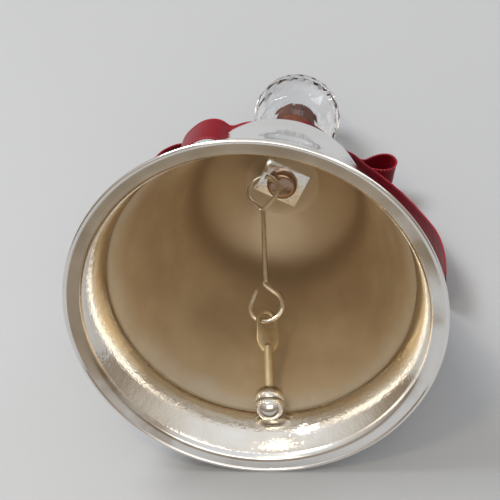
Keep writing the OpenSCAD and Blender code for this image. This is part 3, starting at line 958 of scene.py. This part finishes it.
def ribbon_knot():
    """The short turn that holds the loops, pleated by its own pull."""
    rows = []
    turns = 16
    for k in range(turns + 1):
        a = radians(100 + 372 * k / turns)
        grow = 0.2 * k / turns
        y = KNOT[1] + (1.35 + grow) * cos(a)
        z = KNOT[2] + (4.3 + grow) * sin(a)
        x, half = 0.25 * sin(2 * a), 4 - 0.3 * sin(a) ** 2
        rows.append([on_neck(x + d, y + 0.08 * d * sin(a), z + 0.06 * d * cos(a)) for d in (-half, half)])
    obj = strip("ribbon_knot", rows, gather=[(0.2, 5, 0.3), (0.5, 5, 0.35), (0.8, 5, 0.3)],
                sway=0.25, seed=7.0)


# ---------------------------------------------------------------- floor, light and camera


def floor():
    """A wide plain pale table top."""
    look = Look("pale_table", Specular_IOR_Level=0.35)
    at = look.add("TexCoord", out="Object")
    cloud = look.noise(at, 6, 3)
    look.set(Base_Color=look.ramp(cloud, (0.3, (0.385, 0.402, 0.43)), (0.7, (0.40, 0.417, 0.445))),
             Roughness=look.span(cloud, 0.3, 0.7, 0.42, 0.5))
    radius = 3.0
    points = [(radius * cos(2 * pi * k / 64), radius * sin(2 * pi * k / 64), 0) for k in range(64)]
    top = make_mesh("table_top", points, [range(64)])
    top.data.materials.append(look.material)


def world():
    """A soft room: a bright ceiling, warm walls that only the metal mirrors, and a plain backdrop."""
    made = bpy.data.worlds.new("soft_room")
    bpy.context.scene.world = made
    made.use_nodes = True
    tree = made.node_tree
    tree.nodes.clear()
    new = tree.nodes.new
    at, split, ramp = new("ShaderNodeTexCoord"), new("ShaderNodeSeparateXYZ"), new("ShaderNodeValToRGB")
    tree.links.new(at.outputs["Generated"], split.inputs[0])
    spread = new("ShaderNodeMapRange")
    spread.inputs["From Min"].default_value = -1
    tree.links.new(split.outputs["Z"], spread.inputs["Value"])
    tree.links.new(spread.outputs[0], ramp.inputs[0])
    stops = ((0.0, (0.45, 0.38, 0.30)), (0.5, (0.30, 0.24, 0.18)), (0.62, (0.36, 0.30, 0.24)),
             (0.8, (0.66, 0.62, 0.56)), (1.0, (0.95, 0.96, 0.98)))
    while len(ramp.color_ramp.elements) < len(stops):
        ramp.color_ramp.elements.new(0.5)
    for e, (where, colour) in zip(ramp.color_ramp.elements, stops):
        e.position = where
        e.color = (*colour, 1)
    room, backdrop = new("ShaderNodeBackground"), new("ShaderNodeBackground")
    tree.links.new(ramp.outputs[0], room.inputs["Color"])
    room.inputs["Strength"].default_value = 0.85
    backdrop.inputs["Color"].default_value = (0.70, 0.71, 0.73, 1)
    path, pick, out = new("ShaderNodeLightPath"), new("ShaderNodeMixShader"), new("ShaderNodeOutputWorld")
    tree.links.new(path.outputs["Is Camera Ray"], pick.inputs[0])
    tree.links.new(room.outputs[0], pick.inputs[1])
    tree.links.new(backdrop.outputs[0], pick.inputs[2])
    tree.links.new(pick.outputs[0], out.inputs["Surface"])


def area_light(name, at, aim, size, power, colour):
    light = bpy.data.lights.new(name, "AREA")
    light.shape = "RECTANGLE"
    light.size, light.size_y = size
    light.energy = power
    light.color = colour
    obj = bpy.data.objects.new(name, light)
    obj.location = at
    obj.rotation_mode = "QUATERNION"
    obj.rotation_quaternion = (Vector(aim) - Vector(at)).to_track_quat("-Z", "Y")
    bpy.context.scene.collection.objects.link(obj)


def camera():
    """Looks down into the mouth from its right, rolled a little."""
    azimuth, elevation, roll, distance = radians(11.70), radians(44.72), radians(9.17), 0.31
    aim = Vector((-0.0023, -0.0272, MOUTH.z))
    back = Vector((sin(azimuth) * cos(elevation), -cos(azimuth) * cos(elevation), sin(elevation)))
    right = Vector((cos(azimuth), sin(azimuth), 0))
    up = back.cross(right)
    up = cos(roll) * up + sin(roll) * right
    right = up.cross(back)
    data = bpy.data.cameras.new("camera")
    data.lens = 108
    data.sensor_width = 36
    data.clip_start = 0.01
    obj = bpy.data.objects.new("camera", data)
    turn = Matrix((right, up, back)).transposed()
    obj.matrix_world = Matrix.Translation(aim + back * distance) @ turn.to_4x4()
    bpy.context.scene.collection.objects.link(obj)
    bpy.context.scene.camera = obj


camera()
floor()
world()
area_light("ceiling_left", (-0.45, 0.25, 0.8), (0, 0, 0.03), (0.35, 0.35), 6.5, (1.0, 0.985, 0.96))
area_light("window_right", (0.7, 0.35, 0.6), (0, 0, 0.03), (0.25, 0.6), 1.4, (0.93, 0.96, 1.0))
area_light("lamp_warm", (-0.16, -0.22, 0.75), (0, 0, 0.03), (0.10, 0.05), 0.7, (1.0, 0.80, 0.45))
area_light("room_front", (0.1, -0.8, 0.7), (0, 0, 0.03), (0.9, 0.5), 2.2, (1.0, 0.95, 0.87))
bpy.context.scene.view_settings.view_transform = "Standard"

bell_shell()
hanger_plate()
knob_screw()
neck_spool()
ball_cup()
knob_plug()
crystal_ball()
clapper_link()
clapper_stem()
clapper_collar()
clapper_ball()
ribbon_band()
ribbon_knot()
ribbon_loops()
ribbon_tails()
